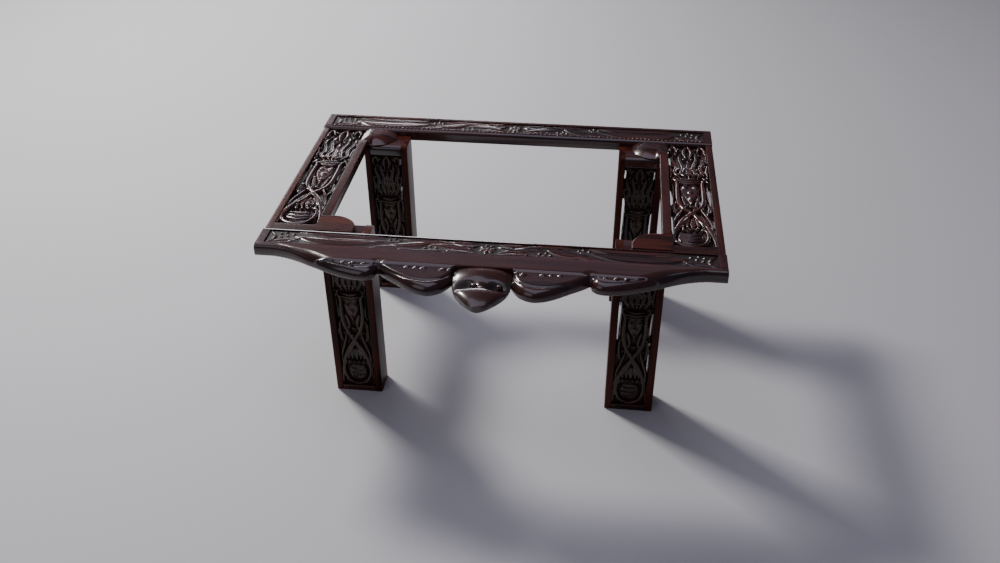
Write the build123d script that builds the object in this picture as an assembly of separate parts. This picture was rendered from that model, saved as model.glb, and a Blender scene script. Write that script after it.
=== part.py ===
from build123d import *
import os

# A low carved wooden Quran stand: an open rectangular frame on four pierced, boxed legs,
# with a scalloped lip along the front. Millimetres. +Z is up, -Y is the reader's side,
# X runs along the frame. The origin is on the floor, at the centre of the plan.

# ---- driving sizes ----
FRAME_WIDTH = 600.0
FRAME_DEPTH = 392.0
LIP_REACH = 93.0
HEIGHT = 274.0
BOARD_THICKNESS = 18.0
RAIL_DEPTH = 45.0
LIP_STRIP = 5.0
SIDE_DROP = 2.5

LEG_WIDTH = 67.0
LEG_DEPTH = 39.5
LEG_INNER_X = 161.0
LEG_STEP = 10.0
LEG_STILE_WIDTH = 10.0
LEG_CAP_HEIGHT = 16.0
LEG_FOOT_HEIGHT = 9.0
LEG_PANEL_THICKNESS = 12.0
LEG_TOP_ROUND = 9.0
LEG_ARRIS = 2.5

STILE_WIDTH = 10.0
PANEL_INNER_X = 233.0
BAR_INNER_X = 220.5
BAR_HEIGHT = 13.0
BAR_FLAT = 0.6
BAR_LOWER_ROUND = 3.0
CROSS_DEPTH = 15.0

TONGUE_DEPTH = 3.0
TONGUE_THICKNESS = 5.0
TONGUE_END_GAP = 12.0
TENON_LENGTH = 4.0
TENON_THICKNESS = 4.0
TENON_SHOULDER = 2.0
ARRIS = 3.0

EAR_INNER_X = 181.0
EAR_SHOULDER_X = 214.0
EAR_CHEEK = 10.0
EAR_DROP = 1.0
EAR_ROUND = 5.0

STRIP_THICKNESS = 4.5
STRIP_SINK = 0.8
STRIP_END = 12.0
STRIP_FRONT_BORDER = 4.0
STRIP_BACK_BORDER = 7.0

DOWEL_RADIUS = 2.5
LIP_DOWEL_RADIUS = 3.0
DOWEL_HALF = 8.0
DOWEL_SHORT = 6.0
EAR_DOWEL_RADIUS = 2.0
EAR_DOWEL_RISE = 2.8
SIDE_JOINT_RISE = 4.5
LIP_JOINT_RISE = 8.0
DOWEL_END_GAP = 0.5
LEG_DOWEL_SPREAD = 14.0
LIP_DOWEL_COUNT = 6
LIP_DOWEL_PITCH = 80.0
LIP_DOWEL_HALF = 12.0
PENDANT_DOWEL_X = 18.0

# ---- places worked out from them ----
PLAN_DEPTH = FRAME_DEPTH + LIP_REACH
BACK_Y = PLAN_DEPTH / 2
FRONT_Y = BACK_Y - FRAME_DEPTH
HALF_WIDTH = FRAME_WIDTH / 2
BOARD_LOW = HEIGHT - BOARD_THICKNESS
SIDE_TOP = HEIGHT - SIDE_DROP
FRONT_RAIL_BACK = FRONT_Y + RAIL_DEPTH
BACK_RAIL_FRONT = BACK_Y - RAIL_DEPTH
LEG_OUTER_X = LEG_INNER_X + LEG_WIDTH
LEG_TOP = HEIGHT - LEG_STEP
FRONT_LEG_INNER = FRONT_RAIL_BACK + LEG_DEPTH
BACK_LEG_INNER = BACK_RAIL_FRONT - LEG_DEPTH
PANEL_OUTER_X = HALF_WIDTH - STILE_WIDTH
EAR_TOP = HEIGHT - EAR_DROP
EAR_DOWEL_Z = LEG_TOP + EAR_DOWEL_RISE
LEG_DOWEL_Z = (BOARD_LOW + LEG_TOP) / 2
SIDE_DOWEL_Z = BOARD_LOW + SIDE_JOINT_RISE
LIP_DOWEL_Z = BOARD_LOW + LIP_JOINT_RISE

# The lip's outline on the right half, as (distance from the middle, reach in front of the frame).
LIP_END_STRAIGHT = 272.0
OUTER_LOBE = [(240.0, 10.0), (192.0, 32.5)]
OUTER_LOBE_CREST = (153.0, 42.5)
OUTER_NOTCH = (132.0, 27.0)
INNER_LOBE_SHOULDER = (93.0, 56.5)
INNER_LOBE_CREST = (67.0, 66.8)
INNER_NOTCH = (36.0, 42.0)
PENDANT_CHEEK = (26.0, 69.5)
BAND_REACH = 21.0
LIP_RECESS = 3.0
LIP_ROUND = 4.0
PENDANT_ROUND = 6.0
# The pendant's two pockets: distance from the middle, reach past the band and size.
POCKET_X = 16.0
POCKET_REACH = 20.0
POCKET_WIDTH = 14.0
POCKET_LENGTH = 10.0
POCKET_CORNER = 3.0
POCKET_DEPTH = 4.0
# See-through gaps of the carved vase-and-scroll designs, for the right-hand side. Each is
# (across, along, width, length): across and width are shares of the panel's half width,
# along and length are shares of its length, counted from the pot end.
LEG_GAPS = [
    (-0.85, 0.64, 0.15, 0.20),
    (0.85, 0.58, 0.15, 0.14),
    (0.85, 0.34, 0.15, 0.15),
    (-0.85, 0.36, 0.15, 0.07),
    (-0.42, 0.55, 0.30, 0.09),
    (0.0, 0.78, 0.20, 0.08),
    (-0.82, 0.89, 0.16, 0.08),
    (0.82, 0.89, 0.16, 0.08),
    (-0.40, 0.22, 0.26, 0.05),
    (0.40, 0.22, 0.26, 0.05),
]
SIDE_GAPS = [
    (-0.88, 0.29, 0.12, 0.26),
    (-0.88, 0.58, 0.12, 0.22),
    (0.88, 0.50, 0.12, 0.20),
    (0.88, 0.24, 0.12, 0.08),
    (0.0, 0.34, 0.30, 0.06),
    (-0.60, 0.19, 0.20, 0.05),
    (0.60, 0.19, 0.20, 0.05),
    (0.0, 0.72, 0.18, 0.08),
    (-0.86, 0.90, 0.14, 0.08),
    (0.86, 0.92, 0.14, 0.06),
]
# Hollows behind the lobes' rims, as (distance from the middle, half width, reach past the band).
LOBE_HOLLOWS = [(81.0, 37.0, 33.0), (166.0, 26.0, 10.0)]


def block(x0, x1, y0, y1, z0, z1):
    """A box between two corners."""
    size = (x1 - x0, y1 - y0, z1 - z0)
    return Pos((x0 + x1) / 2, (y0 + y1) / 2, (z0 + z1) / 2) * Box(*size)


def rounded(solid, radius, edges):
    """The solid with the chosen edges rounded."""
    return fillet(edges, radius) if edges else solid


def edges_near(solid, axis, **limits):
    """Edges parallel to an axis whose middle has the given x, y or z."""
    chosen = solid.edges().filter_by(axis)
    for name, value in limits.items():
        chosen = chosen.filter_by(lambda e: abs(getattr(e.center(), name.upper()) - value) < 0.01)
    return chosen


def dowel(x, y, z, direction, radius, half_length, grow=0.0):
    """A round dowel centred on a joint; grow lengthens it at both ends, for its hole."""
    length = 2 * (half_length + grow)
    turn = {"x": (0, 90, 0), "y": (90, 0, 0), "z": (0, 0, 0)}[direction]
    return Pos(x, y, z) * Rot(*turn) * Cylinder(radius, length)


def drilled(solid, dowels):
    """The solid with a slightly deeper hole for each dowel that enters it."""
    for place in dowels:
        solid = solid - dowel(*place, grow=DOWEL_END_GAP)
    return solid


def mirrored(solid):
    return mirror(solid, about=Plane.YZ)


# ---- dowels: each tuple is x, y, z, direction, radius, half length ----
def corner_dowels(side, rail_face, inward):
    """Dowels of one corner: leg to rail, ear to leg, ear to rail, ear to side bar."""
    middle = side * (LEG_INNER_X + LEG_WIDTH / 2)
    leg_face = rail_face + inward * LEG_DEPTH
    places = [
        (middle + offset, rail_face, LEG_DOWEL_Z, "y", DOWEL_RADIUS, DOWEL_HALF)
        for offset in (-LEG_DOWEL_SPREAD, LEG_DOWEL_SPREAD)
    ]
    ear_x = side * EAR_SHOULDER_X
    ear_y = rail_face + inward * LEG_DEPTH / 2
    places.append((ear_x, ear_y, LEG_TOP, "z", DOWEL_RADIUS, DOWEL_SHORT))
    places.append((ear_x, rail_face, EAR_DOWEL_Z, "y", EAR_DOWEL_RADIUS, DOWEL_SHORT))
    bar_middle = side * (BAR_INNER_X + PANEL_INNER_X) / 2
    places.append((bar_middle, leg_face, EAR_DOWEL_Z, "y", EAR_DOWEL_RADIUS, DOWEL_SHORT))
    return places


def side_dowels(side):
    """Dowels that hold one side's outer stile, cross strip and carved panel to the two rails."""
    stile_x = side * (HALF_WIDTH - STILE_WIDTH / 2)
    span = PANEL_OUTER_X - PANEL_INNER_X
    places = []
    for x in (stile_x, side * (PANEL_INNER_X + span / 4), side * (PANEL_OUTER_X - span / 4)):
        for y in (FRONT_RAIL_BACK, BACK_RAIL_FRONT):
            places.append((x, y, SIDE_DOWEL_Z, "y", DOWEL_RADIUS, DOWEL_HALF))
    return places


def lip_dowels():
    """Dowels between the front rail and the lip, evenly spaced."""
    joint_y = FRONT_Y + LIP_STRIP
    places = []
    for step in range(LIP_DOWEL_COUNT):
        x = (step - (LIP_DOWEL_COUNT - 1) / 2) * LIP_DOWEL_PITCH
        places.append((x, joint_y, LIP_DOWEL_Z, "y", LIP_DOWEL_RADIUS, LIP_DOWEL_HALF))
    return places


def pendant_dowels():
    """Dowels between the lip and the pendant."""
    places = []
    for x in (-PENDANT_DOWEL_X, PENDANT_DOWEL_X):
        places.append((x, FRONT_Y - BAND_REACH, LIP_DOWEL_Z, "y", DOWEL_RADIUS, DOWEL_HALF))
    return places


def dowel_group(places):
    return Compound(children=[dowel(*place) for place in places])


CORNERS = {
    "front_left": (-1, FRONT_RAIL_BACK, 1),
    "front_right": (1, FRONT_RAIL_BACK, 1),
    "back_left": (-1, BACK_RAIL_FRONT, -1),
    "back_right": (1, BACK_RAIL_FRONT, -1),
}
CORNER_DOWELS = {name: corner_dowels(*place) for name, place in CORNERS.items()}
SIDE_DOWELS = {"left": side_dowels(-1), "right": side_dowels(1)}
LIP_DOWELS = lip_dowels()
PENDANT_DOWELS = pendant_dowels()


# ---- front and back rails with their carved strips ----
def strip_span(y_low, y_high, front_border, back_border):
    """Plan limits of the pocket that a carved strip fills."""
    reach = HALF_WIDTH - STRIP_END
    return -reach, reach, y_low + front_border, y_high - back_border


def rail(y_low, y_high, pocket, open_edge_y, dowels):
    """A full-width rail with a pocket for its carved strip and a rounded edge at the opening."""
    body = block(-HALF_WIDTH, HALF_WIDTH, y_low, y_high, BOARD_LOW, HEIGHT)
    body = rounded(body, ARRIS, edges_near(body, Axis.X, y=open_edge_y, z=HEIGHT))
    body = body - block(*pocket, HEIGHT - STRIP_THICKNESS, HEIGHT)
    return drilled(body, dowels)


def carved_strip(pocket):
    """A plain strip that fills the pocket; its carving stands within this height."""
    return block(*pocket, HEIGHT - STRIP_THICKNESS, HEIGHT - STRIP_SINK)


FRONT_POCKET = strip_span(FRONT_Y + LIP_STRIP, FRONT_RAIL_BACK, STRIP_FRONT_BORDER, STRIP_BACK_BORDER)
BACK_POCKET = strip_span(BACK_RAIL_FRONT, BACK_Y, STRIP_BACK_BORDER, STRIP_BACK_BORDER)


def dowels_at(y):
    """Every corner and side dowel that crosses the joint plane at this y."""
    groups = list(CORNER_DOWELS.values()) + list(SIDE_DOWELS.values())
    return [place for group in groups for place in group if place[3] == "y" and abs(place[1] - y) < 0.01]


# ---- scalloped lip and pendant ----
def lip_point(x, reach):
    return (x, FRONT_Y - reach)


def lobes_line():
    """Outline of the right half, from the frame's corner to the notch beside the pendant."""
    corner = lip_point(HALF_WIDTH, 0)
    straight_end = lip_point(LIP_END_STRAIGHT, 0)
    outer_crest = lip_point(*OUTER_LOBE_CREST)
    outer_notch = lip_point(*OUTER_NOTCH)
    inner_crest = lip_point(*INNER_LOBE_CREST)
    inner_notch = lip_point(*INNER_NOTCH)
    sweep = [straight_end] + [lip_point(*p) for p in OUTER_LOBE] + [outer_crest]
    shoulder = [outer_notch, lip_point(*INNER_LOBE_SHOULDER), inner_crest]
    return [
        Line(corner, straight_end),
        Spline(*sweep, tangents=[(-1, 0), (-1, 0)]),
        Spline(outer_crest, outer_notch, tangents=[(-1, 0), (-0.1, 1)], tangent_scalars=[1.2, 1.2]),
        Spline(*shoulder, tangents=[(-1, -1), (-1, 0)]),
        Spline(inner_crest, inner_notch, tangents=[(-1, 0), (-0.1, 1)], tangent_scalars=[1.2, 1.2]),
    ]


def lip_face():
    """Plan of the lip: the strip along the rail, the flat band and four lobes."""
    bay = lip_point(INNER_NOTCH[0], BAND_REACH)
    middle = lip_point(0, BAND_REACH)
    back_middle = lip_point(0, -LIP_STRIP)
    back_corner = lip_point(HALF_WIDTH, -LIP_STRIP)
    half = Curve() + lobes_line()
    half += Line(lip_point(*INNER_NOTCH), bay)
    half += Line(bay, middle)
    half += Line(middle, back_middle)
    half += Line(back_middle, back_corner)
    half += Line(back_corner, lip_point(HALF_WIDTH, 0))
    right = make_face(half)
    return right + mirror(right, about=Plane.YZ)


def pendant_face():
    """Plan of the pendant: parallel cheeks, then a shield that ends in a blunt point."""
    notch = lip_point(*INNER_NOTCH)
    tip = lip_point(0, LIP_REACH)
    bay = lip_point(INNER_NOTCH[0], BAND_REACH)
    middle = lip_point(0, BAND_REACH)
    curve = Spline(notch, lip_point(*PENDANT_CHEEK), tip, tangents=[(-0.1, -1), (-1, -0.3)])
    half = Curve() + [Line(bay, notch), curve, Line(tip, middle), Line(middle, bay)]
    right = make_face(half)
    return right + mirror(right, about=Plane.YZ)


def board(face, low, high):
    """A flat face turned into a board between two heights."""
    return Pos(0, 0, low) * extrude(face, high - low)


def front_top_edges(body, reach):
    """Upper edges that run across the board and lie at or past a reach in front of the frame."""
    limit = FRONT_Y - reach + 0.01
    top = body.faces().sort_by(Axis.Z)[-1]
    across = top.edges().filter_by(lambda e: e.bounding_box().size.X > 0.01)
    return across.filter_by(lambda e: e.bounding_box().max.Y < limit)


def scalloped_lip():
    """The lip board, with a shallow half-oval hollow behind the rim of each lobe."""
    body = board(lip_face(), BOARD_LOW, HEIGHT)
    band_edge = FRONT_Y - BAND_REACH
    outline = front_top_edges(body, 0).filter_by(lambda e: abs(e.center().Y - band_edge) > 0.01)
    body = fillet(outline, LIP_ROUND)
    for middle, half_width, reach in LOBE_HOLLOWS:
        for side in (-1, 1):
            oval = Pos(side * middle, band_edge) * Ellipse(half_width, reach)
            lobe_side = Pos(side * middle, band_edge - reach / 2) * Rectangle(2 * half_width, reach)
            body = body - board(oval & lobe_side, HEIGHT - LIP_RECESS, HEIGHT)
    return drilled(body, LIP_DOWELS + PENDANT_DOWELS)


def centre_pendant():
    """The raised shield in the middle of the lip, with two pockets above it."""
    body = board(pendant_face(), BOARD_LOW, HEIGHT)
    body = fillet(front_top_edges(body, INNER_NOTCH[1]), PENDANT_ROUND)
    pocket_y = FRONT_Y - BAND_REACH - POCKET_REACH
    pocket = RectangleRounded(POCKET_WIDTH, POCKET_LENGTH, POCKET_CORNER)
    for x in (-POCKET_X, POCKET_X):
        body = body - board(Pos(x, pocket_y) * pocket, HEIGHT - POCKET_DEPTH, HEIGHT)
    return drilled(body, PENDANT_DOWELS)


# ---- sides ----
def pierced(plate, gaps, width, length, place):
    """Cut a carved design's see-through gaps.

    place makes the cutter for one gap from its place and size across and along the plate.
    """
    for across, along, gap_width, gap_length in gaps:
        cutter = place(across * width / 2, along * length, gap_width * width / 2, gap_length * length)
        plate = plate - cutter
    return plate


def side_panel():
    """The right side's pierced panel; its design runs from the front (pot) to the back (plume)."""
    y0 = FRONT_RAIL_BACK + CROSS_DEPTH
    y1 = BACK_RAIL_FRONT
    width = PANEL_OUTER_X - PANEL_INNER_X
    middle = (PANEL_INNER_X + PANEL_OUTER_X) / 2
    plate = block(PANEL_INNER_X, PANEL_OUTER_X, y0, y1, BOARD_LOW, SIDE_TOP)
    tongue_low = SIDE_DOWEL_Z - TONGUE_THICKNESS / 2
    tongue_end = y1 - TONGUE_END_GAP
    plate = plate + block(
        PANEL_OUTER_X, PANEL_OUTER_X + TONGUE_DEPTH, y0, tongue_end, tongue_low, tongue_low + TONGUE_THICKNESS
    )

    def place(across, along, gap_width, gap_length):
        slot = Rot(0, 0, 90) * SlotOverall(gap_length, gap_width)
        return Pos(middle + across, y0 + along, BOARD_LOW) * extrude(slot, BOARD_THICKNESS)

    return pierced(plate, SIDE_GAPS, width, y1 - y0, place)


def outer_stile():
    """The right side's plain outer board, grooved for the panel's tongue."""
    body = block(PANEL_OUTER_X, HALF_WIDTH, FRONT_RAIL_BACK, BACK_RAIL_FRONT, BOARD_LOW, SIDE_TOP)
    body = rounded(body, ARRIS, edges_near(body, Axis.Y, x=HALF_WIDTH, z=SIDE_TOP))
    low = SIDE_DOWEL_Z - TONGUE_THICKNESS / 2
    y0 = FRONT_RAIL_BACK + CROSS_DEPTH
    y1 = BACK_RAIL_FRONT - TONGUE_END_GAP
    return body - block(PANEL_OUTER_X, PANEL_OUTER_X + TONGUE_DEPTH, y0, y1, low, low + TONGUE_THICKNESS)


def cross_strip():
    """The plain strip that closes the right panel at its front end."""
    y1 = FRONT_RAIL_BACK + CROSS_DEPTH
    return block(PANEL_INNER_X, PANEL_OUTER_X, FRONT_RAIL_BACK, y1, BOARD_LOW, SIDE_TOP)


def inner_bar():
    """The right side's round-topped bar along the opening, between the two ears."""
    width = PANEL_INNER_X - BAR_INNER_X
    top = EAR_TOP
    low = top - BAR_HEIGHT
    body = block(BAR_INNER_X, PANEL_INNER_X, FRONT_LEG_INNER, BACK_LEG_INNER, low, top)
    body = rounded(body, width / 2 - BAR_FLAT / 2, edges_near(body, Axis.Y, z=top))
    return rounded(body, BAR_LOWER_ROUND, edges_near(body, Axis.Y, z=low))


def ear(inward, rail_face):
    """A corner block on top of the right-hand leg: flat top, curved corner, rounded upper edge."""
    face = rail_face + inward * LEG_DEPTH
    cheek = rail_face + inward * EAR_CHEEK
    corner = EllipticalCenterArc(
        (EAR_SHOULDER_X, cheek),
        EAR_SHOULDER_X - EAR_INNER_X,
        LEG_DEPTH - EAR_CHEEK,
        start_angle=inward * 90,
        arc_size=inward * 90,
    )
    sides = [
        Line((PANEL_INNER_X, rail_face), (PANEL_INNER_X, face)),
        Line((PANEL_INNER_X, face), (EAR_SHOULDER_X, face)),
        corner,
        Line((EAR_INNER_X, cheek), (EAR_INNER_X, rail_face)),
        Line((EAR_INNER_X, rail_face), (PANEL_INNER_X, rail_face)),
    ]
    body = board(make_face(Curve() + sides), LEG_TOP, EAR_TOP)
    top = body.faces().sort_by(Axis.Z)[-1]
    curved = top.edges().filter_by(lambda e: e.bounding_box().max.X < EAR_SHOULDER_X + 0.01)
    return fillet(curved, EAR_ROUND)


# ---- legs: made for the right-hand side, standing inward from a rail's face ----
def leg_box(x0, x1, depth0, depth1, z0, z1, rail_face, inward):
    """A block given by its depth from the rail's face into the frame."""
    y_a = rail_face + inward * depth0
    y_b = rail_face + inward * depth1
    return block(x0, x1, min(y_a, y_b), max(y_a, y_b), z0, z1)


def panel_tongue(x0, x1, depth, rail_face, inward):
    """The tongue (or its groove) of one leg panel, centred on the panel's thickness."""
    half = TONGUE_THICKNESS / 2
    z1 = LEG_TOP - LEG_CAP_HEIGHT
    return leg_box(x0, x1, depth - half, depth + half, LEG_FOOT_HEIGHT, z1, rail_face, inward)


PANEL_DEPTHS = {
    "outer": LEG_PANEL_THICKNESS / 2,
    "inner": LEG_DEPTH - LEG_PANEL_THICKNESS / 2,
}
STILE_SPANS = {
    "inner": (LEG_INNER_X, LEG_INNER_X + LEG_STILE_WIDTH),
    "outer": (LEG_OUTER_X - LEG_STILE_WIDTH, LEG_OUTER_X),
}


def cross_tenons(z0, z1, rail_face, inward):
    """A tenon that runs through a leg's cap or foot piece and out at both ends."""
    x0 = STILE_SPANS["inner"][1] - TENON_LENGTH
    x1 = STILE_SPANS["outer"][0] + TENON_LENGTH
    margin = LEG_DEPTH / 3
    return leg_box(x0, x1, margin, LEG_DEPTH - margin, z0, z1, rail_face, inward)


def cap_tenons(rail_face, inward):
    low = LEG_TOP - LEG_CAP_HEIGHT + TENON_SHOULDER
    return cross_tenons(low, low + TENON_THICKNESS, rail_face, inward)


def foot_tenons(rail_face, inward):
    return cross_tenons(TENON_SHOULDER, TENON_SHOULDER + TENON_THICKNESS, rail_face, inward)


def round_top(body, rail_face, inward):
    """Round the top edge that faces the middle of the frame."""
    return rounded(body, LEG_TOP_ROUND, edges_near(body, Axis.X, y=rail_face + inward * LEG_DEPTH, z=LEG_TOP))


def leg_stile(which, rail_face, inward, dowels):
    """One upright of a leg, grooved for both carved panels and mortised for cap and foot."""
    x0, x1 = STILE_SPANS[which]
    body = leg_box(x0, x1, 0, LEG_DEPTH, 0, LEG_TOP, rail_face, inward)
    body = round_top(body, rail_face, inward)
    outside_x = x0 if which == "inner" else x1
    body = rounded(body, LEG_ARRIS, edges_near(body, Axis.Z, x=outside_x))
    groove_x = (x1 - TONGUE_DEPTH, x1) if which == "inner" else (x0, x0 + TONGUE_DEPTH)
    for depth in PANEL_DEPTHS.values():
        body = body - panel_tongue(*groove_x, depth, rail_face, inward)
    body = body - cap_tenons(rail_face, inward) - foot_tenons(rail_face, inward)
    return drilled(body, dowels)


def leg_cap(rail_face, inward, dowels):
    """The block that closes the top of a leg."""
    x0, x1 = STILE_SPANS["inner"][1], STILE_SPANS["outer"][0]
    body = leg_box(x0, x1, 0, LEG_DEPTH, LEG_TOP - LEG_CAP_HEIGHT, LEG_TOP, rail_face, inward)
    body = round_top(body, rail_face, inward) + cap_tenons(rail_face, inward)
    return drilled(body, dowels)


def leg_foot(rail_face, inward):
    """The low rail that closes the bottom of a leg."""
    x0, x1 = STILE_SPANS["inner"][1], STILE_SPANS["outer"][0]
    body = leg_box(x0, x1, 0, LEG_DEPTH, 0, LEG_FOOT_HEIGHT, rail_face, inward)
    return body + foot_tenons(rail_face, inward)


def leg_panel(which, rail_face, inward):
    """One pierced leg panel with a tongue along each upright edge."""
    x0, x1 = STILE_SPANS["inner"][1], STILE_SPANS["outer"][0]
    z0, z1 = LEG_FOOT_HEIGHT, LEG_TOP - LEG_CAP_HEIGHT
    depth = PANEL_DEPTHS[which]
    half = LEG_PANEL_THICKNESS / 2
    plate = leg_box(x0, x1, depth - half, depth + half, z0, z1, rail_face, inward)
    plate = plate + panel_tongue(x0 - TONGUE_DEPTH, x1 + TONGUE_DEPTH, depth, rail_face, inward)
    centre_y = rail_face + inward * depth
    middle = (x0 + x1) / 2

    def place(across, along, gap_width, gap_length):
        slot = Rot(90, 0, 0) * Rot(0, 0, 90) * SlotOverall(gap_length, gap_width)
        cutter = extrude(slot, LEG_PANEL_THICKNESS, dir=(0, 1, 0), both=True)
        return Pos(middle + across, centre_y, z0 + along) * cutter

    return pierced(plate, LEG_GAPS, x1 - x0, z1 - z0, place)


def right_dowels(name):
    """The dowels of a corner, as they lie on the right-hand side."""
    end = name.split("_")[0]
    return CORNER_DOWELS[end + "_right"]


# ---- gather the nodes ----
def corner_nodes(name, side, rail_face, inward):
    """Every piece of one leg and its ear."""
    dowels = right_dowels(name)
    leg = {
        "inner_stile": leg_stile("inner", rail_face, inward, []),
        "outer_stile": leg_stile("outer", rail_face, inward, dowels),
        "cap": leg_cap(rail_face, inward, dowels),
        "foot": leg_foot(rail_face, inward),
        "outer_panel": leg_panel("outer", rail_face, inward),
        "inner_panel": leg_panel("inner", rail_face, inward),
    }
    pieces = {f"{name}_leg_{piece}": solid for piece, solid in leg.items()}
    pieces[f"{name}_ear"] = drilled(ear(inward, rail_face), dowels)
    if side < 0:
        pieces = {key: mirrored(solid) for key, solid in pieces.items()}
    pieces[f"{name}_dowels"] = dowel_group(CORNER_DOWELS[name])
    return pieces


def side_nodes(name, side):
    """Every piece of one side of the frame."""
    bar_dowels = CORNER_DOWELS["front_right"] + CORNER_DOWELS["back_right"]
    pieces = {
        "outer_stile": drilled(outer_stile(), SIDE_DOWELS["right"]),
        "cross_strip": drilled(cross_strip(), SIDE_DOWELS["right"]),
        "carved_panel": drilled(side_panel(), SIDE_DOWELS["right"]),
        "inner_bar": drilled(inner_bar(), bar_dowels),
    }
    pieces = {f"{name}_{piece}": solid for piece, solid in pieces.items()}
    if side < 0:
        pieces = {key: mirrored(solid) for key, solid in pieces.items()}
    pieces[f"{name}_side_dowels"] = dowel_group(SIDE_DOWELS[name])
    return pieces


def all_nodes():
    front_joints = dowels_at(FRONT_RAIL_BACK) + LIP_DOWELS
    front = rail(FRONT_Y + LIP_STRIP, FRONT_RAIL_BACK, FRONT_POCKET, FRONT_RAIL_BACK, front_joints)
    back = rail(BACK_RAIL_FRONT, BACK_Y, BACK_POCKET, BACK_RAIL_FRONT, dowels_at(BACK_RAIL_FRONT))
    nodes = {
        "front_rail": front,
        "back_rail": back,
        "front_carved_strip": carved_strip(FRONT_POCKET),
        "back_carved_strip": carved_strip(BACK_POCKET),
        "scalloped_lip": scalloped_lip(),
        "centre_pendant": centre_pendant(),
        "lip_dowels": dowel_group(LIP_DOWELS + PENDANT_DOWELS),
    }
    nodes.update(side_nodes("left", -1))
    nodes.update(side_nodes("right", 1))
    for name, place in CORNERS.items():
        nodes.update(corner_nodes(name, *place))
    return nodes


def main():
    os.makedirs("parts", exist_ok=True)
    for name, shape in all_nodes().items():
        export_step(shape, f"parts/{name}.step")


main()
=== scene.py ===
import math

import bpy
import numpy as np
from mathutils import Matrix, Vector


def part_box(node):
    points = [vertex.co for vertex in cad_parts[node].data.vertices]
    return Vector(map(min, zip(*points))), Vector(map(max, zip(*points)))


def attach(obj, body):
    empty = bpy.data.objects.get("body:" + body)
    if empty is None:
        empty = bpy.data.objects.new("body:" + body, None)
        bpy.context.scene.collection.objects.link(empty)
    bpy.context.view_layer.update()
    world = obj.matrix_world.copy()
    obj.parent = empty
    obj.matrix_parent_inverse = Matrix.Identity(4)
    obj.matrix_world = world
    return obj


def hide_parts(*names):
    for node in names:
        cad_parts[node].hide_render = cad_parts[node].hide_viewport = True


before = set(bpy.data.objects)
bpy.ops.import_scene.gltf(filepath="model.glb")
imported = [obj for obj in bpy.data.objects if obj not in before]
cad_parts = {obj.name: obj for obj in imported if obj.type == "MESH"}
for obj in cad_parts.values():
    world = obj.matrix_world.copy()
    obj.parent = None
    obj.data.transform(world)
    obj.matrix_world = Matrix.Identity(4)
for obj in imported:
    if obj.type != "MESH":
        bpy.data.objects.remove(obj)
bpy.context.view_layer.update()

# Lengths below are in millimetres, in the CAD's frame. "a" and "b" run across and along a
# piece and "h" is its height; a piece's axes are the world's directions of these three.
MM = 0.001
X_AXIS, Y_AXIS, Z_AXIS = np.eye(3)
LEVEL_AXES = (X_AXIS, Y_AXIS, Z_AXIS)
FAR = 1e6
TINY = 1e-9


def box_mm(node):
    """Lowest and highest corner of a CAD node, in millimetres."""
    low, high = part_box(node)
    return np.array(low) / MM, np.array(high) / MM


def start_corner(box, side, inward=1):
    """The corner that a box starts from when x runs towards side and y towards inward (1 or -1)."""
    low, high = box
    return (low if side > 0 else high)[0], (low if inward > 0 else high)[1], low[2]


def corner_signs(corner):
    """Which way x runs away from the middle at a corner, and which way y runs inwards."""
    return (-1 if "left" in corner else 1), (1 if corner.startswith("front") else -1)


# ---- mesh building
EDGE_LINES = 8
BLOCK_STEP = 12.0
SHARP_ANGLE = 52
UNDERSIDE_RELIEF = 0.6
# The most that a grid point moves to reach an edge, in grid cells.
EDGE_MOVE = 0.75
LEAST_SLOPE_SQUARED = 0.15


def spaced(length, step):
    """Evenly spaced grid lines from 0 to a length."""
    return np.linspace(0, length, max(2, int(round(length / step)) + 1))


def edge_lines(length, round_low, round_high):
    """Grid lines from 0 to a length, closer together where an edge is rounded."""
    angles = np.linspace(0, math.pi / 2, EDGE_LINES)
    low = round_low * (1 - np.cos(angles)) if round_low else np.zeros(1)
    high = length - (round_high * (1 - np.cos(angles)) if round_high else np.zeros(1))
    flat = length - round_low - round_high
    middle = np.linspace(round_low, length - round_high, max(2, int(flat / BLOCK_STEP) + 1))
    return np.unique(np.round(np.concatenate([low, middle, high]), 4))


def make_mesh(name, points, faces, relief):
    """A mesh object from points in mm, four-sided faces and each point's relief (0 deep to 1 high)."""
    mesh = bpy.data.meshes.new(name)
    mesh.vertices.add(len(points))
    mesh.vertices.foreach_set("co", (points * MM).astype(np.float32).ravel())
    mesh.loops.add(faces.size)
    mesh.loops.foreach_set("vertex_index", faces.astype(np.int32).ravel())
    mesh.polygons.add(len(faces))
    mesh.polygons.foreach_set("loop_start", np.arange(0, faces.size, 4, dtype=np.int32))
    mesh.polygons.foreach_set("use_smooth", np.ones(len(faces), bool))
    mesh.update(calc_edges=True)
    mesh.validate()
    mesh.attributes.new("relief", "FLOAT", "POINT").data.foreach_set("value", relief.astype(np.float32))
    mesh.set_sharp_from_angle(angle=math.radians(SHARP_ANGLE))
    piece = bpy.data.objects.new(name, mesh)
    bpy.context.scene.collection.objects.link(piece)
    return piece


def touching(cells):
    """The grid points at the corners of some cells."""
    padded = np.pad(cells, 1)
    return padded[:-1, :-1] | padded[1:, :-1] | padded[:-1, 1:] | padded[1:, 1:]


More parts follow.
